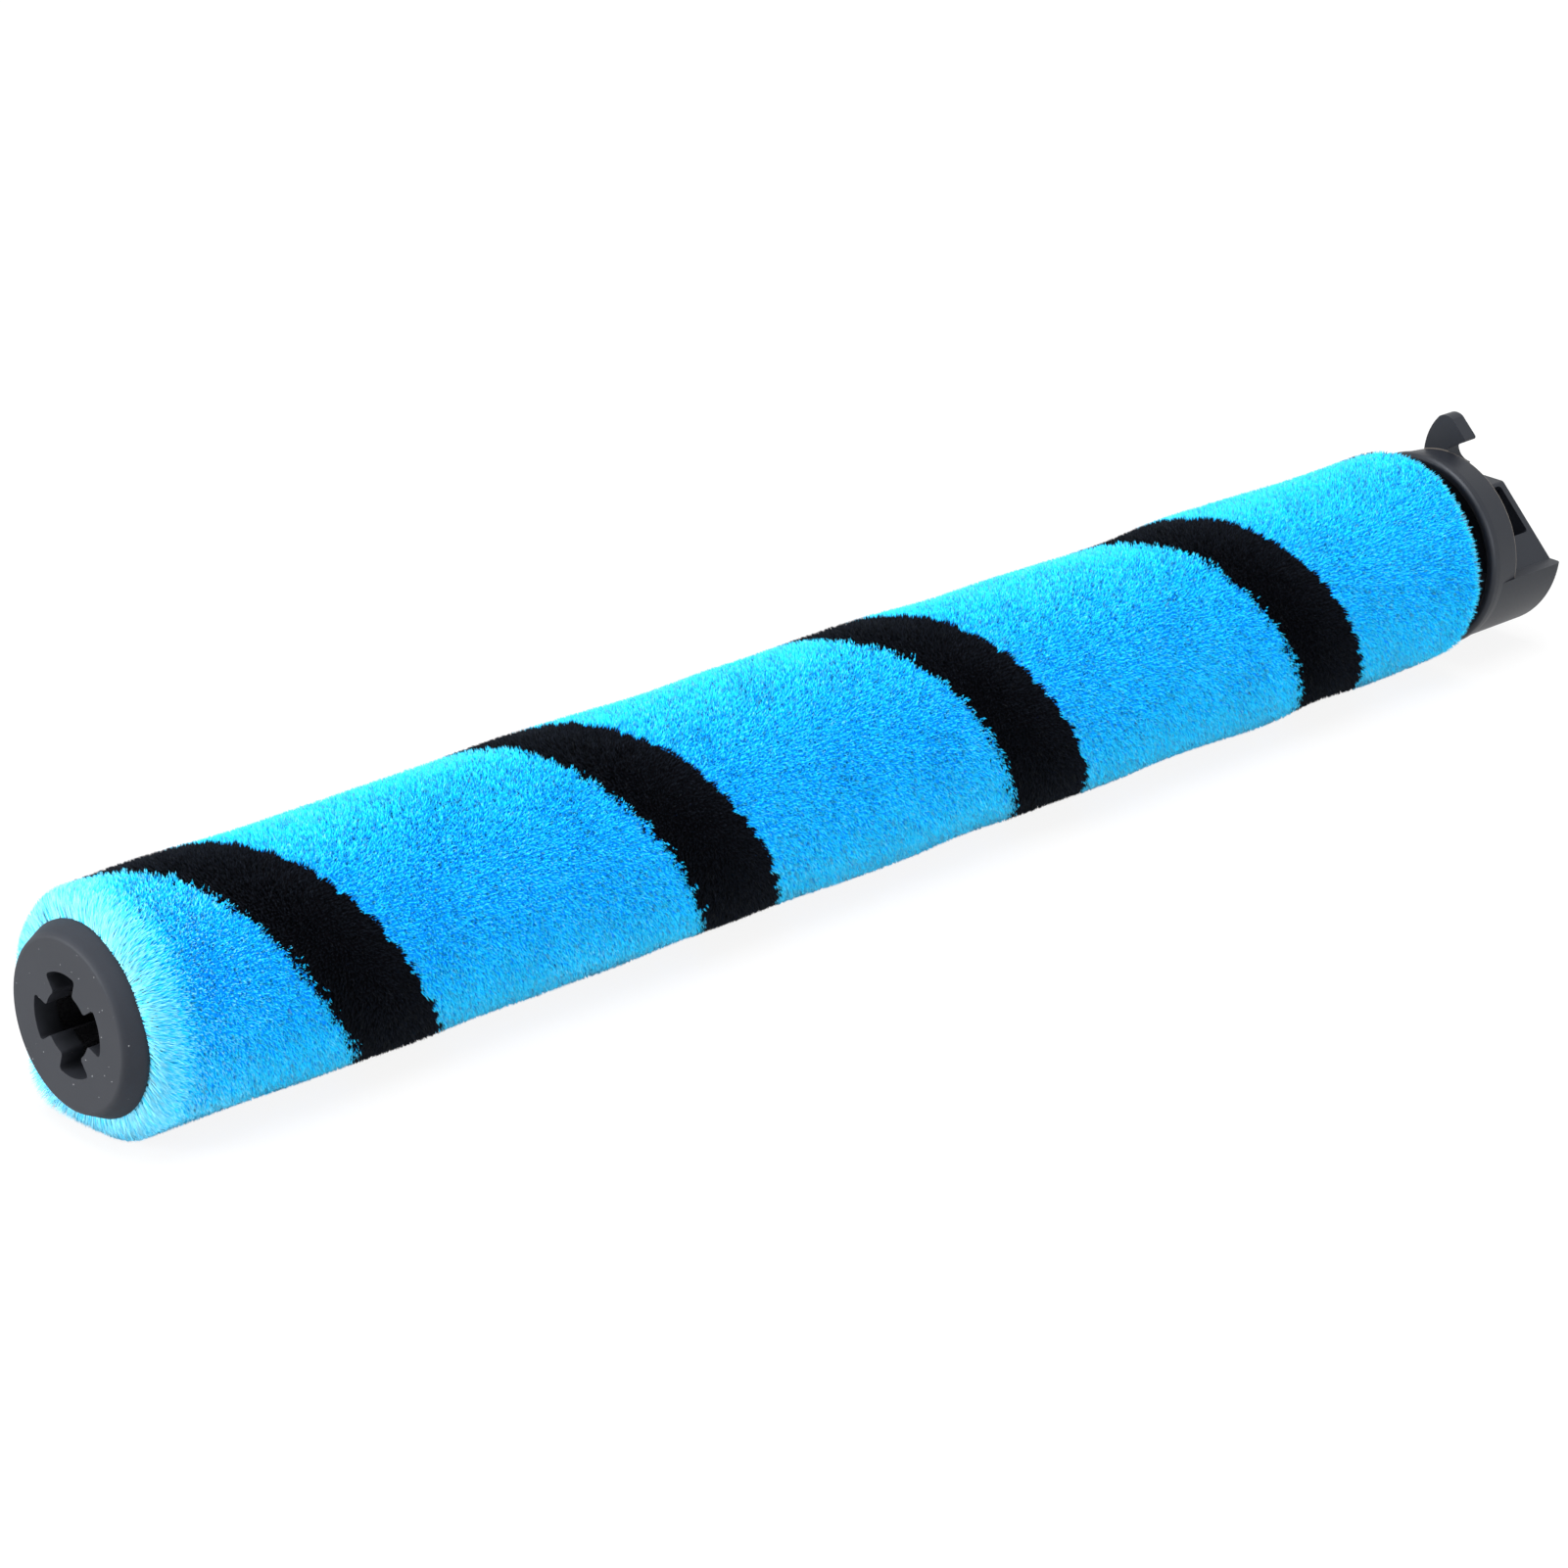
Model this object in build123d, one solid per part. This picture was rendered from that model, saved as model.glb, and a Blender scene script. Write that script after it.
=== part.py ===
"""Soft roller brush of a vacuum cleaner head, with its drive socket and its bearing end cap.

The roller lies along X. The origin is on its axis, at the face of the rubber drive flange.
Z is up, and the plush rests on a small flat spot under the axis. Sizes are in millimetres.
"""
import math
import os

from build123d import *

# Clearances
glue_gap = 0.05            # radial room for glue under a bonded or plugged-in piece
press_gap = 0.01           # radial room left in a press fit
running_gap = 0.06         # room between balls and their tracks, and round loose rings
guard_gap = 0.4            # room between a turning piece and a still one beside it
seam_gap = 0.2             # between neighbouring turns of the wound pile strips
overshoot = 1.0            # how far a cutter passes the face that it opens

# Plush covering, two pile strips wound side by side
pile_radius = 17.5
pile_start = 2.8           # foremost reach of the plush round the flange
pile_end = 257.0
pile_start_round = 3.1
pile_end_round = 0.8
pile_flat_depth = 0.5      # how far the resting spot is pressed in
wind_pitch = 61.5          # advance of the strips in one turn
black_width = 14.4         # width of the black strip along the axis
black_front = 36.2         # where the black strip first crosses the front of the roller

# Core tube
core_radius = 12.4
core_wall = 1.6
core_overhang = 0.4        # past the plush at the idler end

# Rubber drive flange
flange_radius = 13.4
flange_thickness = 3.4
flange_face_radius = 12.0  # of the flat face, up to the bevel
flange_bevel_depth = 2.8   # of the bevel along the axis
flange_bend_round = 0.7
flange_rim_round = 0.4
flange_back_round = 0.3

# Drive socket, a round bore with fan-shaped lobes between its teeth
socket_bore = 4.6
lobe_radius = 7.2
lobe_count = 4
lobe_half_angle = 26.5
lobe_turn = -8.5           # lobes are turned this far from the Y and Z directions
lobe_corner = 0.5
socket_relief = 0.25       # the hard hub's socket is this much wider than the rubber mouth
socket_depth = 17.0        # from the flange's face
hub_rim = 1.6              # thickness of the hub's rim between the flange and the tube
hub_length = 22.0

# Idler plug with its guard disc, and the axle
plug_length = 20.0
plug_wall = 1.8
plug_web = 3.0
plug_rib = 1.4
plug_rib_count = 6
plug_hub_radius = 4.8
guard_radius = 15.0
guard_thickness = 1.8
nose_radius = 4.0          # shoulder that carries the thrust washer
nose_length = 1.6
axle_radius = 2.5
axle_chamfer = 0.4
axle_overhang = 1.4        # past the retaining clip
washer_thickness = 0.5
clip_radius = 4.3
clip_thickness = 0.6
clip_groove = 0.45         # depth of the clip's groove in the axle
clip_mouth = 3.6           # width of the clip's open side

# Shielded ball bearing
bearing_radius = 7.0
bearing_width = 5.0
inner_race_radius = 3.75
outer_race_bore = 5.75
ball_radius = 1.19
ball_count = 7
cage_wall = 0.8
cage_width = 3.2
shield_thickness = 0.25
shield_inset = 0.3         # from the bearing's face to the shield
shield_gap = 0.25          # between a shield and the turning race
shield_step = 0.35         # depth of the step that holds a shield

# End cap: cup, bearing boss, keyed stub and hook
lip_gap = 5.0              # from the end of the plush to the cap's mouth
lip_radius = 15.9
lip_round = 0.8
lip_width = 1.6            # length of the bead round the mouth
cup_mouth_radius = 15.75   # where the tapered cup leaves the bead
cup_back_radius = 15.25
cup_length = 6.3
cap_length = 17.5
cap_wall = 1.7
boss_wall = 1.8
seal_thickness = 1.6
stub_radius = 15.6
stub_edge_round = 1.0
stub_rim = -2.1            # height of the ledge along both sides of the stub
roof_half_width = 13.0     # of the key roof at the ledge
roof_height = 8.3
roof_round = 0.8
roof_wall = 1.8
sleeve_radius = 6.5        # round the axle's end, inside the stub
sleeve_bore = 5.0
sleeve_length = 4.0
stub_rib = 1.4
rib_setback = 1.0          # of the ribs from the stub's open end
rib_turns = (-60, 0, 60)   # of the ribs from straight down
latch_bar = 1.2            # wall round the latch slot, also between it and the stub's end
latch_width = 3.8          # of the latch slot, along the axis
latch_depth = 4.2          # down from the roof's slope
latch_low = -5.25          # ends of the latch slot, measured up the roof's slope
latch_high = 3.45
latch_corner = 0.6

# Outline of the hook on top of the cap, in (Y, Z)
hook_thickness = 2.6
hook_heel = 4.8
hook_heel_height = 14.6
hook_shoulder = (3.6, 18.5)
hook_crown_back = (2.0, 20.7)
hook_crown = (0.7, 21.15)
hook_crown_front = (-0.7, 20.8)
hook_nose = (-3.75, 17.85)
hook_throat = (-0.1, 15.85)
hook_neck = (-0.75, 14.4)
hook_toe = (-2.6, 13.65)
hook_round = 0.4

# Places along the axis
core_start = flange_thickness + hub_rim
core_end = pile_end + core_overhang
plug_start = core_end - plug_length
guard_end = core_end + guard_thickness
nose_end = guard_end + nose_length
bearing_start = nose_end + washer_thickness
bearing_middle = bearing_start + bearing_width / 2
bearing_end = bearing_start + bearing_width
clip_start = bearing_end + running_gap
clip_end = clip_start + clip_thickness
axle_end = clip_end + axle_overhang
boss_front = guard_end + guard_gap + seal_thickness
lip_place = pile_end + lip_gap
cup_back = lip_place + cup_length
sleeve_end = cup_back + sleeve_length
stub_end = lip_place + cap_length

# Radii that fits share
core_bore = core_radius - core_wall
plug_radius = core_bore - glue_gap
track_radius = (inner_race_radius + outer_race_bore) / 2
shield_seat = outer_race_bore + shield_step
boss_radius = bearing_radius + boss_wall


def turned(*outline):
    """A solid of revolution about X from straight runs through (place, radius) points."""
    return revolve(make_face(Polyline(*outline, close=True)), Axis.X)


def ring(start, end, outer, inner=0.0):
    """A plain ring round the axis, or a disc."""
    return turned((start, inner), (end, inner), (end, outer), (start, outer))


def rounded_corner(outline, corner, radius):
    """An outline with the corner nearest to a point rounded."""
    return fillet(outline.vertices().sort_by_distance(corner)[0], radius)


def rounded_ring(start, end, outer, inner, start_round, end_round):
    """A ring round the axis with both outer rims rounded."""
    section = make_face(Polyline((start, inner), (end, inner), (end, outer), (start, outer), close=True))
    section = rounded_corner(section, (start, outer), start_round)
    section = rounded_corner(section, (end, outer), end_round)
    return revolve(section, Axis.X)


def facing(place):
    """The plane across the axis at a place, with Y and Z as its own directions."""
    return Plane(origin=(place, 0, 0), x_dir=(0, 1, 0), z_dir=(1, 0, 0))


def across(sketch, start, end):
    """A prism along X from a sketch drawn in (Y, Z)."""
    return extrude(facing(start) * sketch, end - start)


def sector(radius, middle, half_angle):
    """A pie slice in (Y, Z), with its middle at an angle from Y towards Z."""
    ends = [Vector(radius, 0).rotate(Axis.Z, middle + turn) for turn in (-half_angle, 0, half_angle)]
    rim = ThreePointArc(*ends)
    return make_face([Line((0, 0), ends[0]), rim, Line(ends[2], (0, 0))])


def spoke(start, end, inner, outer, thickness):
    """A flat rib that stands up from the axis between two radii."""
    return Pos((start + end) / 2, 0, (inner + outer) / 2) * Box(end - start, thickness, outer - inner)


def ring_of(piece, count):
    """Copies of a piece set evenly round the axis."""
    return [piece.rotate(Axis.X, index * 360 / count) for index in range(count)]


# Plush strips
def pile_body():
    """The whole plush: rounded at its ends, open for the flange, flat where it rests."""
    lining = core_radius + glue_gap
    body = rounded_ring(pile_start, pile_end, pile_radius, lining, pile_start_round, pile_end_round)
    body -= ring(pile_start - overshoot, flange_thickness + guard_gap, flange_radius + guard_gap)
    floor = Pos(pile_end / 2, 0, pile_flat_depth - 2 * pile_radius)
    return body - floor * Box(2 * pile_end, 2 * pile_radius, 2 * pile_radius)


def wound_cutter(width):
    """Twisted slices, one to a turn, that follow the black strip at a width along the axis."""
    start = pile_start - wind_pitch / 2
    middle = 180 + 360 * (start - black_front) / wind_pitch
    section = sector(pile_radius + overshoot, middle, 180 * width / wind_pitch)
    section -= Circle(core_bore)
    face = (facing(start) * section).faces()[0]
    turn = Solid.extrude_linear_with_rotation(face, (start, 0, 0), (wind_pitch, 0, 0), 360)
    count = math.ceil((pile_end - start) / wind_pitch)
    return Part() + [Pos(index * wind_pitch) * turn for index in range(count)]


plush = pile_body()
black_pile = plush & wound_cutter(black_width)
blue_pile = plush - wound_cutter(black_width + 2 * seam_gap)

# Core tube
core_tube = ring(core_start, core_end, core_radius, core_bore)


# Drive end
def socket_outline(widening):
    """The drive socket's mouth in (Y, Z)."""
    outline = Circle(socket_bore + widening)
    for index in range(lobe_count):
        middle = lobe_turn + index * 360 / lobe_count
        outline += sector(lobe_radius + widening, middle, lobe_half_angle)
    return fillet(outline.vertices(), lobe_corner)


def flange_body():
    """The rubber disc: a flat face, a bevel and a narrow rim."""
    face_edge = (0, flange_face_radius)
    rim_front = (flange_bevel_depth, flange_radius)
    rim_back = (flange_thickness, flange_radius)
    section = make_face(Polyline((0, 0), face_edge, rim_front, rim_back, (flange_thickness, 0), close=True))
    section = rounded_corner(section, face_edge, flange_bend_round)
    section = rounded_corner(section, rim_front, flange_rim_round)
    section = rounded_corner(section, rim_back, flange_back_round)
    return revolve(section, Axis.X)


drive_flange = flange_body() - across(socket_outline(0), -overshoot, flange_thickness + overshoot)

drive_hub = ring(flange_thickness, core_start, core_radius)
drive_hub += ring(core_start, flange_thickness + hub_length, plug_radius)
drive_hub -= across(socket_outline(socket_relief), flange_thickness - overshoot, socket_depth)


# Idler end
def idler_plug_body():
    """A ribbed cup glued into the tube, with a guard disc and a bored nose."""
    web = core_end - plug_web
    plug = ring(plug_start, core_end, plug_radius) + ring(core_end, guard_end, guard_radius)
    plug += ring(guard_end, nose_end, nose_radius)
    plug -= ring(plug_start, web, plug_radius - plug_wall, plug_hub_radius)
    rib_foot = (axle_radius + plug_hub_radius) / 2
    rib = spoke(plug_start, web, rib_foot, plug_radius - plug_wall / 2, plug_rib)
    plug += ring_of(rib, plug_rib_count)
    return plug - ring(plug_start - overshoot, nose_end + overshoot, axle_radius + press_gap)


idler_plug = idler_plug_body()

groove_radius = axle_radius - clip_groove
axle_pin = turned(
    (plug_start, 0),
    (plug_start, axle_radius - axle_chamfer),
    (plug_start + axle_chamfer, axle_radius),
    (clip_start, axle_radius),
    (clip_start, groove_radius),
    (clip_end + running_gap, groove_radius),
    (clip_end + running_gap, axle_radius),
    (axle_end - axle_chamfer, axle_radius),
    (axle_end, axle_radius - axle_chamfer),
    (axle_end, 0),
)
thrust_washer = ring(nose_end, bearing_start, nose_radius, axle_radius + running_gap)
clip_opening = Pos((clip_start + clip_end) / 2, 0, -clip_radius)
retaining_clip = ring(clip_start, clip_end, clip_radius, groove_radius + press_gap)
retaining_clip -= clip_opening * Box(2 * clip_thickness, clip_mouth, 2 * clip_radius)

# Ball bearing
track = revolve(Pos(bearing_middle, track_radius) * Circle(ball_radius + running_gap), Axis.X)
bearing_inner_race = ring(bearing_start, bearing_end, inner_race_radius, axle_radius + press_gap) - track
step_depth = shield_inset + shield_thickness
bearing_outer_race = ring(bearing_start, bearing_end, bearing_radius, outer_race_bore) - track
bearing_outer_race -= ring(bearing_start - overshoot, bearing_start + step_depth, shield_seat)
bearing_outer_race -= ring(bearing_end - step_depth, bearing_end + overshoot, shield_seat)


def shield(start):
    """A thin ring that closes the bearing between its races."""
    return ring(start, start + shield_thickness, shield_seat - press_gap, inner_race_radius + shield_gap)


shield_roller_side = shield(bearing_start + shield_inset)
shield_cap_side = shield(bearing_end - step_depth)

ball_seat = Pos(bearing_middle, 0, track_radius)
bearing_balls = Compound(ring_of(ball_seat * Sphere(ball_radius), ball_count))
cage_start = bearing_middle - cage_width / 2
cage_bore = track_radius - cage_wall / 2
bearing_cage = ring(cage_start, cage_start + cage_width, cage_bore + cage_wall, cage_bore)
bearing_cage -= ring_of(ball_seat * Sphere(ball_radius + running_gap), ball_count)

felt_seal = ring(boss_front - seal_thickness, boss_front, boss_radius, nose_radius + guard_gap)


# End cap
def cup():
    """The round cup that faces the roller, with a beaded mouth and the bearing's boss."""
    shell = turned(
        (lip_place, lip_radius - cap_wall),
        (lip_place, lip_radius),
        (lip_place + lip_width, lip_radius),
        (lip_place + lip_width, cup_mouth_radius),
        (cup_back, cup_back_radius),
        (cup_back, 0),
        (cup_back - cap_wall, 0),
        (cup_back - cap_wall, cup_back_radius - cap_wall),
    )
    mouth = shell.edges().filter_by(GeomType.CIRCLE).group_by(Axis.X)[0]
    shell = fillet(mouth, min(lip_round, 0.47 * cap_wall))
    return shell + ring(boss_front, cup_back, boss_radius)


def below(height):
    """Everything in (Y, Z) under a height, as far as the stub reaches."""
    return Pos(0, height - stub_radius) * Rectangle(4 * stub_radius, 2 * stub_radius)


def roof_outline(inset, foot):
    """The key roof in (Y, Z) with its walls moved in, on a straight foot that reaches down."""
    foot_half = roof_half_width - inset * math.sqrt(2)
    crown = roof_height - inset
    crown_half = foot_half - (crown - stub_rim)
    right = [(crown_half, crown), (foot_half, stub_rim), (foot_half, stub_rim - foot)]
    left = [(-y, z) for y, z in reversed(right)]
    return make_face(Polyline(*right, *left, close=True))


def stub():
    """The keyed stub: half a round body below a ledge, and a roof with two sloping sides."""
    body = across(Circle(stub_radius) & below(stub_rim), lip_place + lip_width, stub_end)
    end_rim = body.edges().filter_by(GeomType.CIRCLE).sort_by(Axis.X)[-1]
    body = fillet(end_rim, stub_edge_round)
    roof = across(roof_outline(0, cap_wall), cup_back - cap_wall, stub_end)
    crown_edges = roof.edges().filter_by(Axis.X).group_by(Axis.Z)[-1]
    return body + fillet(crown_edges, roof_round)


def stub_hollow():
    """What the stub is cored out by, from its open end to the back of the cup."""
    room = Circle(stub_radius - cap_wall) & below(stub_rim - cap_wall)
    return across(room + roof_outline(roof_wall, 2 * cap_wall), cup_back, stub_end + overshoot)


def stub_ribs():
    """The sleeve round the axle's end, and the ribs that tie it to the shell."""
    root = cup_back - cap_wall / 2
    rib_foot = (sleeve_bore + sleeve_radius) / 2
    rib = spoke(root, stub_end - rib_setback, rib_foot, stub_radius - cap_wall / 2, stub_rib)
    sleeve = ring(root, sleeve_end, sleeve_radius)
    return sleeve + [rib.rotate(Axis.X, 180 + turn) for turn in rib_turns]


def latch_block(margin, bottom, top):
    """The latch slot's shape grown by a margin, between two depths below the roof's front slope."""
    slope_reach = (roof_half_width + stub_rim) / math.sqrt(2)
    slope = Plane(
        origin=(stub_end - latch_bar - latch_width / 2, 0, 0),
        x_dir=(1, 0, 0),
        z_dir=(0, -1, 1),
    )
    length = latch_high - latch_low
    outline = RectangleRounded(latch_width + 2 * margin, length + 2 * margin, latch_corner + margin)
    middle = Pos(0, (latch_high + latch_low) / 2)
    return extrude(slope.offset(slope_reach - bottom) * middle * outline, bottom - top)


def hook():
    """The hook on top: a heel, a rounded crown, and a barb that looks forward."""
    heel_top = (hook_heel, hook_heel_height)
    heel_foot = (hook_heel, stub_rim)
    toe_foot = (hook_toe[0], stub_rim)
    outline = [
        Line(heel_foot, heel_top),
        ThreePointArc(heel_top, hook_shoulder, hook_crown_back),
        ThreePointArc(hook_crown_back, hook_crown, hook_crown_front),
        Polyline(hook_crown_front, hook_nose, hook_throat),
        ThreePointArc(hook_throat, hook_neck, hook_toe),
        Polyline(hook_toe, toe_foot, heel_foot),
    ]
    face = rounded_corner(make_face(outline), hook_nose, hook_round)
    face = rounded_corner(face, hook_throat, hook_round)
    return across(face, cup_back, cup_back + hook_thickness)


latch_pocket = latch_block(latch_bar, latch_depth + latch_bar, roof_wall / 2)
latch_slot = latch_block(0, latch_depth, -roof_wall)
end_cap = cup() + stub() + hook() - stub_hollow() + stub_ribs() + latch_pocket - latch_slot
end_cap -= ring(boss_front - overshoot, bearing_end, bearing_radius + press_gap)
end_cap -= ring(bearing_end - overshoot, sleeve_end, sleeve_bore)

pieces = {
    "core_tube": core_tube,
    "blue_pile": blue_pile,
    "black_pile": black_pile,
    "drive_hub": drive_hub,
    "drive_flange": drive_flange,
    "idler_plug": idler_plug,
    "axle_pin": axle_pin,
    "thrust_washer": thrust_washer,
    "retaining_clip": retaining_clip,
    "bearing_inner_race": bearing_inner_race,
    "bearing_outer_race": bearing_outer_race,
    "bearing_balls": bearing_balls,
    "bearing_cage": bearing_cage,
    "shield_roller_side": shield_roller_side,
    "shield_cap_side": shield_cap_side,
    "felt_seal": felt_seal,
    "end_cap": end_cap,
}

os.makedirs("parts", exist_ok=True)
for name, solid in pieces.items():
    export_step(solid, f"parts/{name}.step")
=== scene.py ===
"""Looks of the soft roller brush: wound plush with its pile, matte rubber, moulded plastic and steel."""
import math

import bpy
import numpy as np
from mathutils import Matrix, Vector


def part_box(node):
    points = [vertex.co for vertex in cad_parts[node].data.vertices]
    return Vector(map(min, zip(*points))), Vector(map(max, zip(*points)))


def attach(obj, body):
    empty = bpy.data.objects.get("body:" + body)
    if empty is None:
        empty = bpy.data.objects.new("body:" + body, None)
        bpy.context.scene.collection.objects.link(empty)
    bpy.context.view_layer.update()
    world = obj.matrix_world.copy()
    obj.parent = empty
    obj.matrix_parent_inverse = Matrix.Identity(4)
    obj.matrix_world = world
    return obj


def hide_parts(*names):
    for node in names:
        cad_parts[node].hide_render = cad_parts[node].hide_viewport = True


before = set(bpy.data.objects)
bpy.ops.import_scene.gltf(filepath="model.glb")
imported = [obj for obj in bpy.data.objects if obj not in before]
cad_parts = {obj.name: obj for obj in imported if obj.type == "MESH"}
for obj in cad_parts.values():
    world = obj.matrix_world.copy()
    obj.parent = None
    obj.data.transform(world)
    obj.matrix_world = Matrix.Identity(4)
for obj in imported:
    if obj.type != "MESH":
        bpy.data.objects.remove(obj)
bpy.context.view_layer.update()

MM = 0.001

# Sizes from the frame
plush_low, plush_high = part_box("blue_pile")
pile_start = plush_low.x
pile_end = plush_high.x
pile_radius = plush_high.z
rest_height = plush_low.z
flange_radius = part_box("drive_flange")[1].z
guard_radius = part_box("idler_plug")[1].z
core_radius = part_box("core_tube")[1].z
cap_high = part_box("end_cap")[1]

# Marks on the flange and the cap: a duller bevel, and a painted highlight line on the cap
bevel_start = 11.7 * MM       # radii between which the flange turns duller, at its bevel
bevel_full = 12.5 * MM
cup_back_setback = 11.2 * MM  # from the stub's end to the back of the cup
highlight_line_inner = 15.0 * MM     # radii of the painted highlight line there, a pale line standing for light on the cup's back edge
highlight_line_outer = 15.4 * MM
highlight_line_before = 0.10 * MM    # its reach along the axis, towards the roller and away from it
highlight_line_after = 0.02 * MM

# Winding and shape of the plush
wind_pitch = 61.5 * MM
black_width = 14.4 * MM
black_front = 36.2 * MM       # where the black strip first crosses the front
start_round = 3.1 * MM
end_round = 0.8 * MM
rim_clearance = 0.15 * MM     # between the pile and the tube, or the disc at its end
rim_cover = 0.4 * MM          # how far the flange's rim hides the first fibres
swell = 0.20 * MM             # slow waviness of the plush
swell_length = 40 * MM
dimple = 0.08 * MM            # its quicker waviness
dimple_length = 11 * MM
rows_per_turn = 72            # mesh of the grounds that carry the pile
blue_columns = 20
black_columns = 8

# Pile
tuft_count = 370_000
tuft_radius = 0.18 * MM
tuft_roundness = 0.35         # how far a tuft's shading turns to its sides
tuft_scatter = 0.22           # how far it strays from tuft to tuft
place_jitter = 0.12 * MM      # how far tufts stray from their even places
tip_jitter = 0.10 * MM        # how far single tips stray
uneven_length = 0.5 * MM      # how much shorter the shortest fibres are
floor_gap = 0.02 * MM         # between the lowest tips and the floor
pile_depth = 1.0 * MM         # from the tips down to the roots that show
backing_depth = 0.85 * MM     # from the tips down to the closed ground of the pile
start_inset = 1.4 * backing_depth  # from the pile's start to that of its ground
start_fall = 1.15             # how far the ground falls there, of the pile's own fall
clump_size = 0.6 * MM
clump_range = 0.4             # the numbers that a clump shares go this far either way
clump_step = 0.2 * MM         # how far a clump stands out, for each unit of such a number
clump_facing = 0.7            # how far it faces another way, for each unit
clump_pull = 0.5              # how far tips draw together, of the way to the clump's middle
nap_lean = 0.14 * MM
nap_round = 0.4 * nap_lean    # the part of it that goes round the roller
nap_drift = 0.03 * MM         # how much the lean wanders
drift_along = 17 * MM         # lengths over which it wanders, along and round
drift_round = 15 * MM
comb_length = 2.4 * MM        # lean of the fibres that the flange combs outwards
comb_depth = 0.3 * MM         # how deep those fibres are rooted
painted_foot_light = 0.9             # painted light: how much lighter those fibres are painted at the foot, where the light falls strongest by the flange
comb_thinning = 0.45          # how much thinner they are
comb_reach = 10.0 * MM        # how far from the flange that goes on
comb_fade = 1.4               # how quickly it fades
painted_light_at_flange = 0.45               # painted light: how much paler the pile is painted at the flange, where the light falls strongest
painted_light_reach = 24 * MM          # how far from the flange that painted light reaches
shade_middle = 0.55           # usual shade of the tips, from 0 to 1 for the palest
shade_clump = 0.45            # how much it differs between clumps, for each unit of their number
shade_jitter = 0.13           # how much it differs between tufts
painted_nap_shade = 0.03            # painted shade of the nap: how much it wanders in patches
patch_length = 24 * MM
bulge = 0.6 * MM              # how far the pile swells round the flange, at the front
bulge_top = 0.7               # share of it at the top
lock_bulge = 3.0 * MM         # more of it low at the back, where the roller's weight presses it out
lock_angle = math.radians(-54)
lock_sharpness = 18
cover_reach = 9.0 * MM        # how far blue fibres hide the black strip's start, at the back
cover_angle = math.radians(-20)
cover_jag = 2 * MM            # raggedness of that cover's edge
fringe_length = 1.3 * MM      # how far fibres stand out over the pile's other end
fringe_reach = 2.2 * MM
black_splay = 0.55 * MM       # lean of the black pile over its edges
splay_shift = 0.4             # how much more of that goes towards the flange
scallop = 1.2 * MM            # depth of the lumps along the black strip's edge towards the cap
scallop_length = 4.2 * MM
scallop_mean = 0.6            # about the mean of a lump's height, of its depth
scallop_wander = 0.9          # how far the lumps wander along the edge, in radians
wander_length = 9 * MM
scallop_jag = 0.15 * MM       # how far single clumps stray over that edge
bristle = 0.6 * MM            # raggedness of its other edge
bristle_jag = 1.6 * MM
bristle_wave = 0.6            # shares of short waves and of single tufts in it
bristle_stray = 0.5
bristle_length = 1.9 * MM
blue_pieces = 5               # each pile is split along the roller
black_pieces = 2
map_spread = 0.002            # how wide a tuft lies on the map for baking
map_margin = 0.05

# Camera, as fitted to the photograph
camera_place = Vector((-0.3357, -0.4995, 0.2806))
camera_right = Vector((0.73535, -0.67768, 0.0))
camera_up = Vector((0.26005, 0.28218, 0.92344))
camera_lens = 118.05
camera_sensor = 36.0

# Light
room_light = 0.42             # of the room, at the front
room_rise = 0.18              # how much lighter the room is at the back
floor_white = 0.88            # how far the camera sees the floor as plain white


class Value:
    """A shader socket that joins in sums as a number does. Each operator adds one Math node."""

    def __init__(self, finish, socket):
        self.finish = finish
        self.socket = socket

    def math(self, operation, *others):
        values = dict(enumerate([self, *others]))
        return self.finish.node("ShaderNodeMath", {"operation": operation}, values)

    def __add__(self, other):
        return self.math("ADD", other)

    def __mul__(self, other):
        return self.math("MULTIPLY", other)

    def __rsub__(self, other):
        return self * -1 + other

    def __gt__(self, other):
        return self.math("GREATER_THAN", other)

    def __lt__(self, other):
        return self.math("LESS_THAN", other)

    def __pow__(self, other):
        return self.math("POWER", other)

    __radd__ = __add__
    __rmul__ = __mul__

    def between(self, low, high):
        """0 below low, 1 above high, and smooth from one to the other."""
        settings = {"interpolation_type": "SMOOTHSTEP"}
        sockets = {"Value": self, "From Min": low, "From Max": high}
        return self.finish.node("ShaderNodeMapRange", settings, sockets)


class Nodes:
    """A shader's nodes in the making."""

    def __init__(self, tree):
        self.tree = tree

    def node(self, kind, settings=None, sockets=None, output=0):
        """Adds a node: its settings come first, then the values or links of its sockets."""
        made = self.tree.nodes.new(kind)
        for name, value in (settings or {}).items():
            setattr(made, name, value)
        for name, value in (sockets or {}).items():
            if isinstance(value, Value):
                self.tree.links.new(value.socket, made.inputs[name])
            else:
                made.inputs[name].default_value = value
        return Value(self, made.outputs[output])

    def parts(self, value):
        """All the outputs of the node that a value comes from, by name."""
        return {socket.name: Value(self, socket) for socket in value.socket.node.outputs}

    def seen(self):
        """1 for rays that come from the camera, straight or by way of a gloss or a clear body, else 0."""
        rays = self.parts(self.node("ShaderNodeLightPath"))
        straight = rays["Is Camera Ray"].math("MAXIMUM", rays["Is Glossy Ray"])
        return straight.math("MAXIMUM", rays["Is Transmission Ray"])


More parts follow.
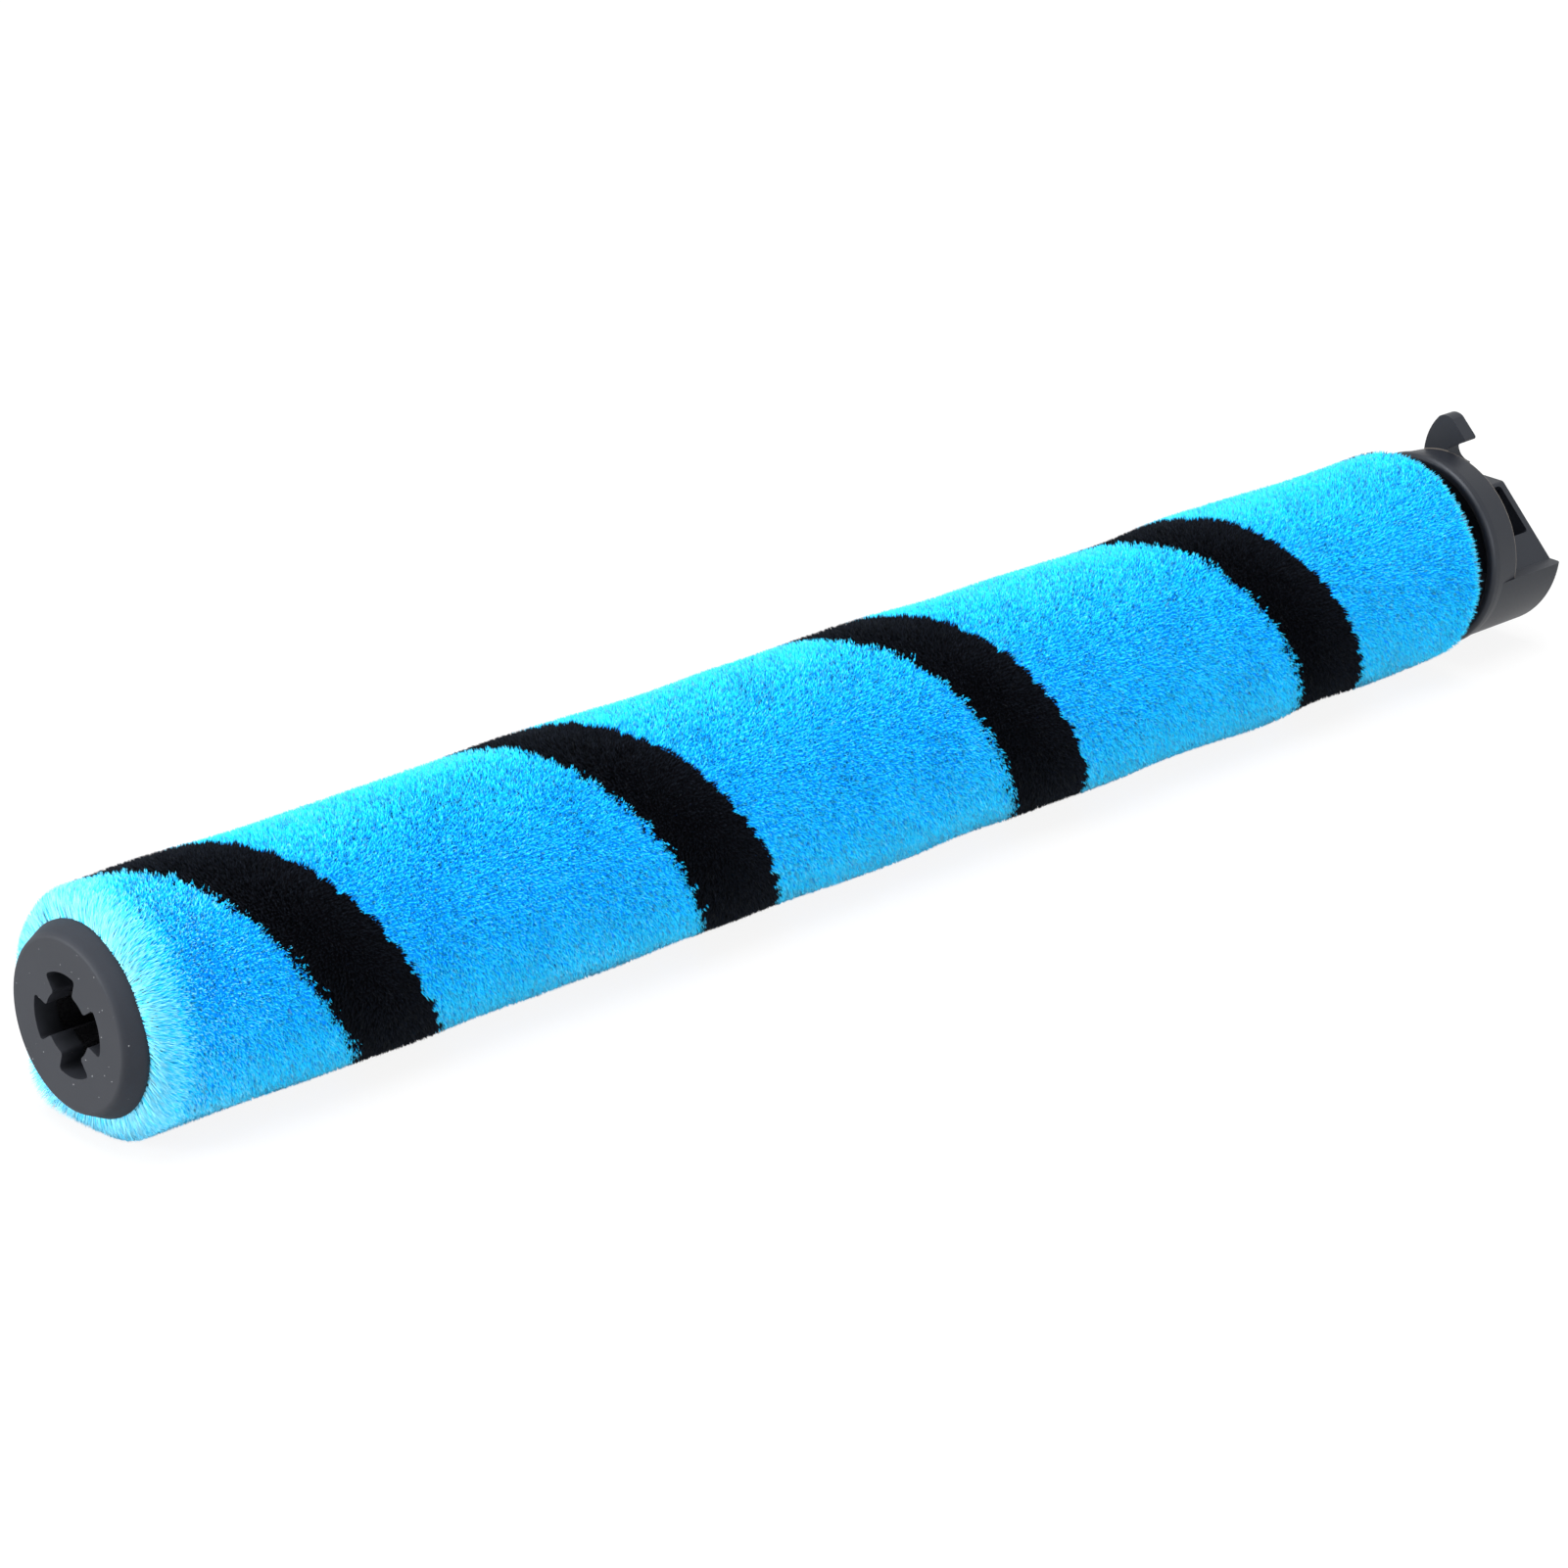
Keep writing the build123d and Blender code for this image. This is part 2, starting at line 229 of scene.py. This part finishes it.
class Finish(Nodes):
    """A material in the making. Constants are set on the shader's own sockets."""

    def __init__(self, name, **constants):
        self.material = bpy.data.materials.new(name)
        self.material.use_nodes = True
        super().__init__(self.material.node_tree)
        self.shader = self.tree.nodes["Principled BSDF"]
        for socket, value in constants.items():
            self.shader.inputs[socket.replace("_", " ")].default_value = value

    def feed(self, socket, value):
        self.tree.links.new(value.socket, self.shader.inputs[socket])

    def place(self):
        return self.node("ShaderNodeTexCoord", output="Object")

    def axes(self):
        """The X, Y and Z of a surface point, as three values."""
        split = self.parts(self.node("ShaderNodeSeparateXYZ", sockets={0: self.place()}))
        return split["X"], split["Y"], split["Z"]

    def along_and_out(self):
        """How far along the roller's axis a surface point lies, and how far out from it."""
        x, y, z = self.axes()
        return x, (y * y + z * z) ** 0.5

    def noise(self, grain, detail=2.0):
        """Noise with features of about a grain's size, in metres."""
        sockets = {"Vector": self.place(), "Scale": 1 / grain, "Detail": detail}
        return self.node("ShaderNodeTexNoise", sockets=sockets)

    def cells(self, grain):
        """Distance to the nearest of scattered points, and a number that is random for each."""
        sockets = {"Vector": self.place(), "Scale": 1 / grain}
        distance = self.node("ShaderNodeTexVoronoi", sockets=sockets)
        colour = self.parts(distance)["Color"]
        return distance, self.node("ShaderNodeSeparateColor", sockets={0: colour})

    def attribute(self, name):
        return self.node("ShaderNodeAttribute", {"attribute_name": name}, output="Fac")

    def mix(self, first, second, share):
        """A colour between two colours."""
        return self.node("ShaderNodeMix", {"data_type": "RGBA"}, {0: share, 6: first, 7: second}, 2)

    def bump(self, height, depth, strength=1.0):
        """Lets a height from 0 to 1 stand up by a depth in metres."""
        sockets = {"Height": height, "Distance": depth, "Strength": strength}
        self.feed("Normal", self.node("ShaderNodeBump", sockets=sockets))


def plush_finish(name, root, ground, tip, pale, sheen):
    """Pile with painted shade darkening it down at its roots and painted highlights on some pale tips: by
    its height and its shade alone.
    """
    constants = {"Roughness": 0.9, "Specular_IOR_Level": 0.05}
    tint = (0.80, 0.94, 1.0, 1)
    finish = Finish(name, Sheen_Weight=sheen, Sheen_Roughness=0.35, Sheen_Tint=tint, **constants)
    height = finish.attribute("height")
    shade = finish.attribute("shade")
    # root colour: painted shade down between the fibres, also on the ground under them
    root_shade_colour = finish.mix(root, ground, height.between(0.0, 0.75))
    # pale: painted highlights on the tips of highest shade
    tip_with_highlights = finish.mix(tip, pale, shade.between(0.7, 1.1))
    finish.feed("Base Color", finish.mix(root_shade_colour, tip_with_highlights, height.between(0.35, 1.0) * shade))
    return finish.material


def rubber_finish():
    """Matte rubber with a fine skin, faint cloudiness, specks of dust and a duller bevel."""
    finish = Finish("matte_rubber", Specular_IOR_Level=0.40, Specular_Tint=(0.86, 0.92, 1.0, 1))
    cloud = finish.noise(6 * MM, 3.0)
    skin = finish.noise(0.12 * MM)
    bevel = finish.along_and_out()[1].between(bevel_start, bevel_full)
    distance, chance = finish.cells(0.9 * MM)
    speck = (distance < 0.075) * (chance > 0.70)
    body = finish.mix((0.010, 0.011, 0.015, 1), (0.014, 0.015, 0.020, 1), cloud)
    finish.feed("Base Color", finish.mix(body, (0.42, 0.43, 0.45, 1), speck))
    finish.feed("Roughness", 0.48 + 0.16 * skin + 0.32 * bevel)
    finish.bump(skin, 0.02 * MM, 0.5)
    return finish.material


def cap_finish():
    """Finely grained dark moulded plastic, with a painted highlight: a pale line round the back edge of
    the cup.
    """
    finish = Finish("grained_plastic", Specular_IOR_Level=0.38, Specular_Tint=(0.86, 0.92, 1.0, 1))
    grain = finish.noise(0.16 * MM, 3.0)
    cloud = finish.noise(9 * MM)
    along, out = finish.along_and_out()
    cup_back = cap_high.x - cup_back_setback
    band = (out > highlight_line_inner) * (out < highlight_line_outer)
    # painted highlight: a pale line where light catches the edge at the back of the cup
    painted_highlight = (along > cup_back - highlight_line_before) * (along < cup_back + highlight_line_after) * band
    body = finish.mix((0.005, 0.006, 0.009, 1), (0.007, 0.008, 0.012, 1), cloud)
    finish.feed("Base Color", finish.mix(body, (0.15, 0.13, 0.11, 1), painted_highlight * 0.7))
    finish.feed("Roughness", 0.38 + 0.16 * grain)
    finish.bump(grain, 0.012 * MM, 0.5)
    return finish.material


def moulded_finish(name, dark, light, roughness, grain):
    """Plain moulded plastic with a slight grain."""
    finish = Finish(name, Specular_IOR_Level=0.45)
    texture = finish.noise(grain, 3.0)
    finish.feed("Base Color", finish.mix(dark, light, finish.noise(5 * MM)))
    finish.feed("Roughness", roughness + 0.12 * texture)
    finish.bump(texture, 0.01 * MM, 0.4)
    return finish.material


def turned_finish(name, colour, roughness):
    """Steel with fine turning marks round its axis."""
    finish = Finish(name, Metallic=1.0)
    along, out = finish.along_and_out()
    marks = ((out + along) * (1 / (0.03 * MM))).math("SINE")
    tint = finish.mix(colour, [0.8 * part for part in colour[:3]] + [1], finish.noise(0.8 * MM))
    finish.feed("Base Color", tint)
    finish.feed("Roughness", roughness + 0.05 * marks + 0.08 * finish.noise(1.5 * MM))
    return finish.material


def felt_finish():
    """Pressed felt: matted fibres of mixed greys."""
    finish = Finish("pressed_felt", Sheen_Weight=0.2, Specular_IOR_Level=0.1)
    fibres = finish.noise(0.25 * MM, 4.0)
    finish.feed("Base Color", finish.mix((0.08, 0.08, 0.078, 1), (0.26, 0.26, 0.25, 1), fibres))
    finish.feed("Roughness", 0.85 + 0.1 * fibres)
    finish.bump(fibres, 0.1 * MM, 0.6)
    return finish.material


def pile_profile():
    """The plush's outline, flange to cap: length along it, place, radius, outward directions."""
    turn = np.linspace(0, math.pi / 2, 24)
    start = np.c_[
        pile_start + start_round * (1 - np.cos(turn)),
        pile_radius - start_round * (1 - np.sin(turn)),
        -np.cos(turn),
        np.sin(turn),
    ]
    end = np.c_[
        pile_end - end_round * (1 - np.sin(turn)),
        pile_radius - end_round * (1 - np.cos(turn)),
        np.sin(turn),
        np.cos(turn),
    ]
    first = [pile_start, flange_radius - rim_cover, -1, 0]
    last = [pile_end, guard_radius + rim_clearance, 1, 0]
    rows = np.vstack([first, start, end, last])
    steps = np.hypot(np.diff(rows[:, 0]), np.diff(rows[:, 1]))
    return np.c_[np.r_[0, np.cumsum(steps)], rows]


profile = pile_profile()
profile_length = profile[-1, 0]


def on_plush(along, angle):
    """Points of the plush's outer skin, and its outward directions there."""
    along = np.clip(along, 0, profile_length)
    lengths, *columns = profile.T
    place, radius, out_x, out_r = (np.interp(along, lengths, column) for column in columns)
    points = np.c_[place, radius * np.cos(angle), radius * np.sin(angle)]
    outward = np.c_[out_x, out_r * np.cos(angle), out_r * np.sin(angle)]
    return points, outward / np.linalg.norm(outward, axis=1, keepdims=True)


def ripple(points, wavelength, seed, count=9):
    """Smooth waviness of about one unit, from plane waves in scattered directions."""
    draw = np.random.default_rng(seed)
    waves = draw.normal(size=(count, 3))
    waves *= 2 * math.pi / wavelength / np.linalg.norm(waves, axis=1, keepdims=True)
    waves *= draw.uniform(0.7, 1.4, (count, 1))
    phases = draw.uniform(0, 2 * math.pi, count)
    return np.sin(points @ waves.T + phases).sum(1) * math.sqrt(2 / count)


def plush_swell(points):
    """How far the plush's wavy skin stands out at these points."""
    slow = swell * ripple(points, swell_length, seed=1)
    return slow + dimple * ripple(points, dimple_length, seed=2)


def from_black(points):
    """How far a point lies along the axis from the middle of the black strip, towards the cap."""
    angle = np.arctan2(points[:, 2], points[:, 1])
    turns = (points[:, 0] - black_front) / wind_pitch - (angle - math.pi) / (2 * math.pi)
    return wind_pitch * ((turns + 0.5) % 1 - 0.5)


def combed_share(along):
    """How much the flange combs the pile: from 1 at the flange to 0 at the end of its reach."""
    return np.clip(1 - along / comb_reach, 0, 1) ** comb_fade


def deselect():
    if bpy.context.object and bpy.context.object.mode != "OBJECT":
        bpy.ops.object.mode_set(mode="OBJECT")
    bpy.ops.object.select_all(action="DESELECT")


def apply_modifiers(piece):
    deselect()
    piece.select_set(True)
    bpy.context.view_layer.objects.active = piece
    for modifier in list(piece.modifiers):
        bpy.ops.object.modifier_apply(modifier=modifier.name)


def dress(piece, material, body):
    """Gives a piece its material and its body."""
    piece.data.materials.clear()
    piece.data.materials.append(material)
    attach(piece, body)


def give_attribute(mesh, label, values):
    """Adds one number for each point of a mesh."""
    layer = mesh.attributes.new(label, "FLOAT", "POINT")
    layer.data.foreach_set("value", np.asarray(values, np.float32).ravel())


def trim_ribbon(start, end):
    """Cuts the active ribbon off at both ends and turns its faces outwards."""
    bpy.ops.object.mode_set(mode="EDIT")
    bpy.ops.mesh.select_all(action="SELECT")
    bpy.ops.mesh.bisect(plane_co=(start, 0, 0), plane_no=(1, 0, 0), clear_inner=True)
    bpy.ops.mesh.select_all(action="SELECT")
    bpy.ops.mesh.bisect(plane_co=(end, 0, 0), plane_no=(1, 0, 0), clear_outer=True)
    bpy.ops.mesh.select_all(action="SELECT")
    bpy.ops.mesh.normals_make_consistent(inside=False)
    bpy.ops.object.mode_set(mode="OBJECT")


def wound_ribbon(name, width, middle, columns):
    """The ground of one strip: a flat ribbon wound round the tube, trimmed and given its wall."""
    deselect()
    turns = math.ceil((pile_end - pile_start + width) / wind_pitch) + 1
    rows = rows_per_turn * turns
    bpy.ops.mesh.primitive_grid_add(x_subdivisions=columns, y_subdivisions=rows, size=1)
    ribbon = bpy.context.object
    ribbon.name = name
    mesh = ribbon.data
    flat = np.empty(3 * len(mesh.vertices), np.float32)
    mesh.vertices.foreach_get("co", flat)
    across = flat.reshape(-1, 3)[:, 0]
    along = flat.reshape(-1, 3)[:, 1] + 0.5
    first_turn = math.floor((pile_start - middle - width) / wind_pitch)
    wound = first_turn + along * turns
    place = middle + wind_pitch * wound + width * across
    angle = math.pi + 2 * math.pi * wound
    rise = np.clip((pile_start + start_round - place) / start_round, 0, 1)
    drop = start_round * (1 - np.sqrt(1 - rise ** 2))
    skin = np.c_[place, pile_radius * np.cos(angle), pile_radius * np.sin(angle)]
    radius = pile_radius - backing_depth - start_fall * drop + plush_swell(skin)
    wrapped = np.c_[place, radius * np.cos(angle), radius * np.sin(angle)]
    mesh.vertices.foreach_set("co", wrapped.astype(np.float32).ravel())
    # the ground shows the roots' painted shade, lifted by the painted light near the flange
    give_attribute(mesh, "height", painted_foot_light * combed_share(place - pile_start))
    give_attribute(mesh, "shade", np.full(len(place), 0.5))
    trim_ribbon(pile_start + start_inset, pile_end - backing_depth)
    wall = ribbon.modifiers.new("wall", "SOLIDIFY")
    wall.thickness = pile_radius - backing_depth - core_radius - rim_clearance
    wall.offset = -1
    apply_modifiers(ribbon)
    bpy.ops.object.shade_smooth_by_angle(angle=math.radians(40))
    return ribbon


def unit_spike():
    """One tuft as a three-sided spike that stands on its root: its points and faces."""
    deselect()
    bpy.ops.mesh.primitive_cone_add(vertices=3, radius1=1, radius2=0, depth=1, end_fill_type="NOTHING")
    spike = bpy.context.object
    points = np.array([vertex.co for vertex in spike.data.vertices])
    faces = np.array([face.vertices for face in spike.data.polygons])
    bpy.data.objects.remove(spike)
    points[:, 2] += 0.5
    return points, faces


def spread_tufts(draw):
    """Even places for the tufts: how far along the plush's outline each stands, and at what angle."""
    index = np.arange(tuft_count)
    step = 1.32471795724          # the plastic number, whose powers spread points evenly
    share = (0.5 + index / step) % 1
    turn = (0.5 + index / step ** 2) % 1
    fine = np.linspace(0, profile_length, 6000)
    area = np.cumsum(np.interp(fine, profile[:, 0], profile[:, 2]))
    along = np.interp(share, area / area[-1], fine)
    along = along + draw.normal(0, place_jitter, tuft_count)
    arc = 2 * math.pi * turn * pile_radius + draw.normal(0, place_jitter, tuft_count)
    return along, arc / pile_radius


def gather_clumps(along, arc, draw):
    """Ways to each tuft's clump middle, along and round, and six numbers that a clump shares."""
    spare = 2                     # cells past each edge, for tufts that stray over it
    column = np.floor(along / clump_size).astype(int)
    row = np.floor(arc / clump_size).astype(int)
    columns = math.ceil(profile_length / clump_size) + 2 * spare
    rows = math.ceil(2 * math.pi * pile_radius / clump_size) + 2 * spare
    numbers = draw.uniform(-clump_range, clump_range, (columns, rows, 6))
    shared = numbers[column + spare, row + spare]
    way_along = (column + 0.5 + shared[:, 0]) * clump_size - along
    way_round = (row + 0.5 + shared[:, 1]) * clump_size - arc
    return way_along, way_round, shared


def inside_black(skin, offset, arc, stray, draw):
    """How far inside the black strip a tuft stands, less than 0 outside it.

    The strip is lumpy on its edge towards the cap and bristly on the other.
    """
    slope = math.atan2(wind_pitch, 2 * math.pi * pile_radius)
    along_edge = arc / math.cos(slope) + offset * math.sin(slope)
    wander = scallop_wander * ripple(skin, wander_length, seed=5)
    lumps = np.abs(np.sin(math.pi * along_edge / scallop_length + wander)) - scallop_mean
    waves = bristle_wave * ripple(skin, bristle_length, seed=6)
    spikes = waves + draw.normal(0, bristle_stray, tuft_count)
    lumpy = scallop * lumps + scallop_jag * stray
    bristly = bristle * spikes + bristle_jag * stray
    inside = black_width / 2 + np.where(offset > 0, lumpy, bristly) - np.abs(offset)
    cover = cover_reach * np.clip(2 * np.cos(arc / pile_radius - cover_angle), 0, 1)
    return np.minimum(inside, skin[:, 0] - pile_start + cover_jag * stray - cover)


def pile_bulge(along, angle):
    """How far the pile stands out round the flange."""
    near = np.clip(1 - along / comb_reach, 0, 1) * np.clip(along / start_round, 0, 1)
    front = np.clip(bulge_top - bulge_top * np.cos(angle), 0, 1) * np.clip(1 + np.sin(angle), 0, 1)
    lock = np.clip(np.cos(angle - lock_angle), 0, 1) ** lock_sharpness
    return (bulge * front + lock_bulge * lock) * near


def scatter_tufts():
    """All the tufts, spread evenly over the plush: a table of one row for each."""
    draw = np.random.default_rng(20)
    along, angle = spread_tufts(draw)
    arc = angle * pile_radius
    skin, outward = on_plush(along, angle)
    way_along, way_round, shared = gather_clumps(along, arc, draw)
    offset = from_black(skin)
    inside = inside_black(skin, offset, arc, shared[:, 0], draw)
    black = inside > 0
    combed = combed_share(along)

    lean_along = -nap_lean + nap_drift * ripple(skin, drift_along, seed=3)
    lean_along += np.where(black, black_splay * (2 * offset / black_width - splay_shift), 0)
    lean_along = lean_along * (1 - combed) + comb_length * combed
    lean_round = nap_round + nap_drift * (1 - combed) * ripple(skin, drift_round, seed=4)
    lumpy_edge = (offset > 0) * np.clip(1 - np.abs(inside) / clump_size, 0, 1)
    pull = clump_pull * (1 - combed) * (1 - lumpy_edge)
    loose = draw.normal(0, tip_jitter, (tuft_count, 2))
    tip_along = along + pull * way_along + lean_along + loose[:, 0]
    tip_angle = angle + (pull * way_round + lean_round + loose[:, 1]) / pile_radius

    tips, tip_outward = on_plush(tip_along, tip_angle)
    uneven = draw.uniform(0, 1, tuft_count) ** 2
    height = plush_swell(tips) - uneven_length * uneven + clump_step * shared[:, 2]
    tips += tip_outward * (height + pile_bulge(tip_along, tip_angle))[:, None]
    fringe = np.clip(1 - (pile_end - skin[:, 0]) / fringe_reach, 0, 1)
    tips[:, 0] += fringe_length * fringe * (0.5 + shared[:, 4]) * draw.uniform(0.2, 1.1, tuft_count)
    tips[:, 2] = np.maximum(tips[:, 2], rest_height + floor_gap)
    sunk = pile_depth * (1 - combed) + comb_depth * combed - plush_swell(skin)

    # painted shade of the nap, in slow patches
    painted_light_and_shade = painted_nap_shade * ripple(skin, patch_length, seed=7)
    # painted light: paler near the flange, where the light falls strongest
    painted_light_and_shade = painted_light_and_shade + painted_light_at_flange * np.clip(1 - along / painted_light_reach, 0, 1)
    shade = shade_middle + painted_light_and_shade + shade_clump * shared[:, 2] + draw.normal(0, shade_jitter, tuft_count)
    return {
        "root": skin - outward * sunk[:, None],
        "tip": tips,
        "facing": tip_outward + clump_facing * shared[:, 3:],
        "width": tuft_radius * (1 - comb_thinning * combed),
        "shade": np.clip(shade, 0, 1),
        "foot": painted_foot_light * combed,
        "black": black,
    }


def map_for_baking(mesh, shade, height):
    """A map of shade across and height up: the pile's colour depends on those two alone."""
    layer = mesh.uv_layers.new(name="OFBake")
    places = map_margin + (1 - 2 * map_margin) * np.stack([shade.ravel(), height.ravel()], axis=1)
    layer.uv.foreach_set("vector", places.astype(np.float32).ravel())


def tuft_mesh(name, tufts, spike):
    """Many copies of the spike as one piece, each with the shading of the plush that it belongs to."""
    points, faces = spike
    roots = tufts["root"]
    count = len(roots)
    draw = np.random.default_rng(count)
    axis = tufts["tip"] - roots
    side = np.cross(axis, draw.normal(size=(count, 3)))
    side /= np.linalg.norm(side, axis=1, keepdims=True)
    other = np.cross(axis, side) / np.linalg.norm(axis, axis=1, keepdims=True)
    width = tufts["width"][:, None]
    vertices = roots[:, None] + points @ np.stack([side * width, other * width, axis], axis=1)
    corners = faces[None] + len(points) * np.arange(count)[:, None, None]

    mesh = bpy.data.meshes.new(name)
    mesh.vertices.add(count * len(points))
    mesh.vertices.foreach_set("co", vertices.astype(np.float32).ravel())
    mesh.loops.add(corners.size)
    mesh.loops.foreach_set("vertex_index", corners.astype(np.int32).ravel())
    mesh.polygons.add(count * len(faces))
    mesh.polygons.foreach_set("loop_start", np.arange(0, corners.size, 3, dtype=np.int32))
    mesh.update(calc_edges=True)

    foot = tufts["foot"][:, None]
    height = foot + (1 - foot) * points[:, 2]
    shade = np.repeat(tufts["shade"][:, None], len(points), axis=1)
    give_attribute(mesh, "height", height)
    give_attribute(mesh, "shade", shade)
    map_for_baking(mesh, (shade + map_spread * points[:, 0])[:, faces], height[:, faces])
    splay = np.einsum("pk,nkj->npj", points[:, :2], np.stack([side, other], axis=1))
    stray = draw.normal(0, tuft_scatter, (count, 1, 3))
    soft = tufts["facing"][:, None] + tuft_roundness * splay + stray
    soft /= np.linalg.norm(soft, axis=2, keepdims=True)
    mesh.shade_smooth()
    mesh.normals_split_custom_set_from_vertices(soft.reshape(-1, 3))

    piece = bpy.data.objects.new(name, mesh)
    bpy.context.scene.collection.objects.link(piece)
    return piece


def make_plush():
    """Both strips: a wound ground that stands for the CAD strip, and the pile on it."""
    # root: painted shade between the fibres; pale: painted highlights on some tips
    blue = plush_finish(
        "blue_pile_fibre",
        root=(0.001, 0.26, 0.86, 1),
        ground=(0.002, 0.58, 0.99, 1),
        tip=(0.08, 0.68, 1.0, 1),
        pale=(0.32, 0.80, 1.0, 1),
        sheen=0.12,
    )
    black = plush_finish(
        "black_pile_fibre",
        root=(0.001, 0.001, 0.002, 1),
        ground=(0.002, 0.003, 0.005, 1),
        tip=(0.009, 0.012, 0.019, 1),
        pale=(0.02, 0.024, 0.034, 1),
        sheen=0.015,
    )
    blue_width = wind_pitch - black_width
    grounds = (
        ("blue", blue_width, black_front + wind_pitch / 2, blue_columns, blue),
        ("black", black_width, black_front, black_columns, black),
    )
    for colour, width, middle, columns, material in grounds:
        ribbon = wound_ribbon(f"{colour}_plush_ground", width, middle, columns)
        dress(ribbon, material, "roller")
        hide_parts(f"{colour}_pile")

    spike = unit_spike()
    tufts = scatter_tufts()
    share = (tufts["root"][:, 0] - pile_start) / (pile_end - pile_start)
    piles = (
        ("blue", ~tufts["black"], blue_pieces, blue),
        ("black", tufts["black"], black_pieces, black),
    )
    for colour, of_colour, pieces, material in piles:
        section = np.clip(np.floor(share * pieces), 0, pieces - 1)
        for number in range(pieces):
            chosen = of_colour & (section == number)
            rows = {label: column[chosen] for label, column in tufts.items()}
            piece = tuft_mesh(f"{colour}_pile_tufts_{number + 1}", rows, spike)
            dress(piece, material, "roller")


def finish_frame():
    """Materials of the CAD pieces that show as they are."""
    moulded = (
        ("drive_hub", (0.012, 0.012, 0.014, 1), (0.018, 0.018, 0.020, 1), 0.22, 0.4 * MM),
        ("idler_plug", (0.010, 0.010, 0.012, 1), (0.015, 0.016, 0.018, 1), 0.42, 0.2 * MM),
        ("core_tube", (0.030, 0.030, 0.033, 1), (0.040, 0.040, 0.043, 1), 0.50, 0.3 * MM),
        ("bearing_cage", (0.50, 0.43, 0.30, 1), (0.58, 0.52, 0.38, 1), 0.45, 0.2 * MM),
        ("thrust_washer", (0.68, 0.68, 0.65, 1), (0.74, 0.74, 0.72, 1), 0.40, 0.2 * MM),
    )
    finishes = {name: moulded_finish(f"{name}_plastic", *values) for name, *values in moulded}
    finishes["drive_flange"] = rubber_finish()
    finishes["end_cap"] = cap_finish()
    finishes["felt_seal"] = felt_finish()
    finishes["bearing_balls"] = turned_finish("polished_steel", (0.72, 0.72, 0.73, 1), 0.08)
    steel = turned_finish("turned_steel", (0.56, 0.57, 0.58, 1), 0.28)
    races = ("bearing_inner_race", "bearing_outer_race")
    shields = ("shield_roller_side", "shield_cap_side")
    for name in ("axle_pin", "retaining_clip", *races, *shields):
        finishes[name] = steel
    for name, material in finishes.items():
        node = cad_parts[name]
        node.data.materials.clear()
        node.data.materials.append(material)


def make_floor():
    """A pale floor that the camera sees as nearly white, with the roller's shadow on it."""
    deselect()
    bpy.ops.mesh.primitive_plane_add(size=4, location=(0, 0, rest_height))
    floor = bpy.context.object
    floor.name = "floor"
    pale = (0.86, 0.86, 0.86, 1)
    finish = Finish("pale_floor", Base_Color=pale, Roughness=0.9, Specular_IOR_Level=0.0)
    plain = Value(finish, finish.shader.outputs[0])
    white = finish.node("ShaderNodeEmission", sockets={"Color": (1, 1, 1, 1), "Strength": 1.0})
    both = finish.node("ShaderNodeMixShader", sockets={0: finish.seen() * floor_white, 1: plain, 2: white})
    output = finish.tree.nodes["Material Output"]
    finish.tree.links.new(both.socket, output.inputs["Surface"])
    floor.data.materials.append(finish.material)


def soft_lamp(name, place, aim, size, power):
    lamp = bpy.data.lights.new(name, "AREA")
    lamp.shape = "DISK"
    lamp.size = size
    lamp.energy = power
    holder = bpy.data.objects.new(name, lamp)
    holder.location = place
    holder.rotation_euler = (Vector(aim) - Vector(place)).to_track_quat("-Z", "Y").to_euler()
    bpy.context.scene.collection.objects.link(holder)


def make_lamps():
    """A large lamp overhead, one at the drive end and one at the front."""
    middle = ((pile_start + pile_end) / 2, 0, 0)
    soft_lamp("overhead", place=(0.0, -0.05, 1.1), aim=middle, size=1.0, power=20)
    soft_lamp("at_the_drive_end", place=(-1.05, 0.50, 0.40), aim=middle, size=0.6, power=17)
    soft_lamp("from_the_front", place=(0.15, -1.1, 0.30), aim=middle, size=0.9, power=8)


def make_world():
    """White where the camera looks, and as a source of light a dimmer room that is darker at the front."""
    world = bpy.data.worlds.new("studio")
    bpy.context.scene.world = world
    world.use_nodes = True
    sky = Nodes(world.node_tree)
    direction = sky.node("ShaderNodeTexCoord", output="Generated")
    backwards = sky.parts(sky.node("ShaderNodeSeparateXYZ", sockets={0: direction}))["Y"]
    room = room_light + room_rise * backwards.between(-0.7, 0.7)
    strength = room + (1 - room) * sky.seen()
    background = sky.tree.nodes["Background"]
    background.inputs["Color"].default_value = (1, 1, 1, 1)
    sky.tree.links.new(strength.socket, background.inputs["Strength"])


def make_camera():
    data = bpy.data.cameras.new("photo_view")
    data.lens = camera_lens
    data.sensor_width = camera_sensor
    data.sensor_height = camera_sensor
    data.clip_start = 0.01
    camera = bpy.data.objects.new("photo_view", data)
    back = camera_right.cross(camera_up)
    turn = Matrix((camera_right, camera_up, back)).transposed()
    camera.matrix_world = Matrix.Translation(camera_place) @ turn.to_4x4()
    bpy.context.scene.collection.objects.link(camera)
    bpy.context.scene.camera = camera


finish_frame()
make_plush()
make_floor()
make_lamps()
make_world()
make_camera()
bpy.context.scene.view_settings.view_transform = "Standard"
